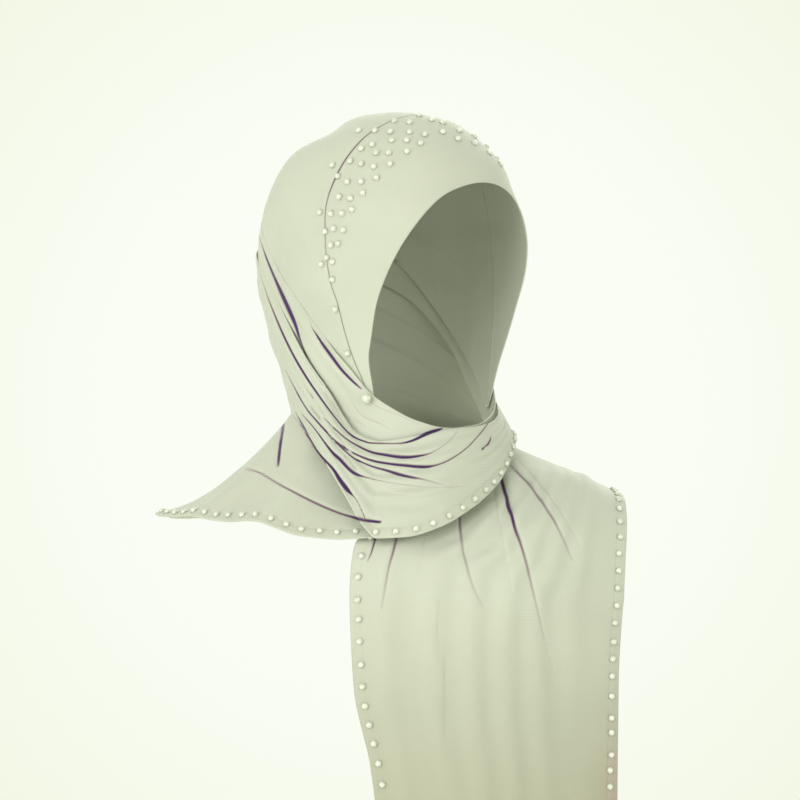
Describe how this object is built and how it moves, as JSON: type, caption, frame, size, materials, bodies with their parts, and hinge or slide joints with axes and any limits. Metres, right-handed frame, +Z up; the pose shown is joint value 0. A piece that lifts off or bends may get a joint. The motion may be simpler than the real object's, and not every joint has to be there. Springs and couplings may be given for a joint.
{
  "type": "hijab headscarf",
  "caption": "Worn headscarf: smooth hood round an open face, cowl folds under the chin, a drape over one shoulder and a gathered panel down the front, with beaded hems.",
  "frame": {"origin": "crown of the head that wears the scarf, at the top of the form inside the cloth", "axes": "+Z up, -Y towards the front of the shoulders, +X towards the wearer's left, to which the head is turned by 42 degrees"},
  "size_m": [0.3401, 0.2693, 0.6034],
  "materials": {
    "jersey": "matte satin jersey, pale stone green",
    "crystal": "small pale crystal beads and pin head"
  },
  "bodies": {
    "root": {"front_band": "jersey", "hood": "jersey", "chin_wrap": "jersey", "neck_wrap": "jersey", "shoulder_drape": "jersey", "back_drape": "jersey", "front_panel": "jersey", "cheek_pin": "crystal"}
  },
  "joints": []
}
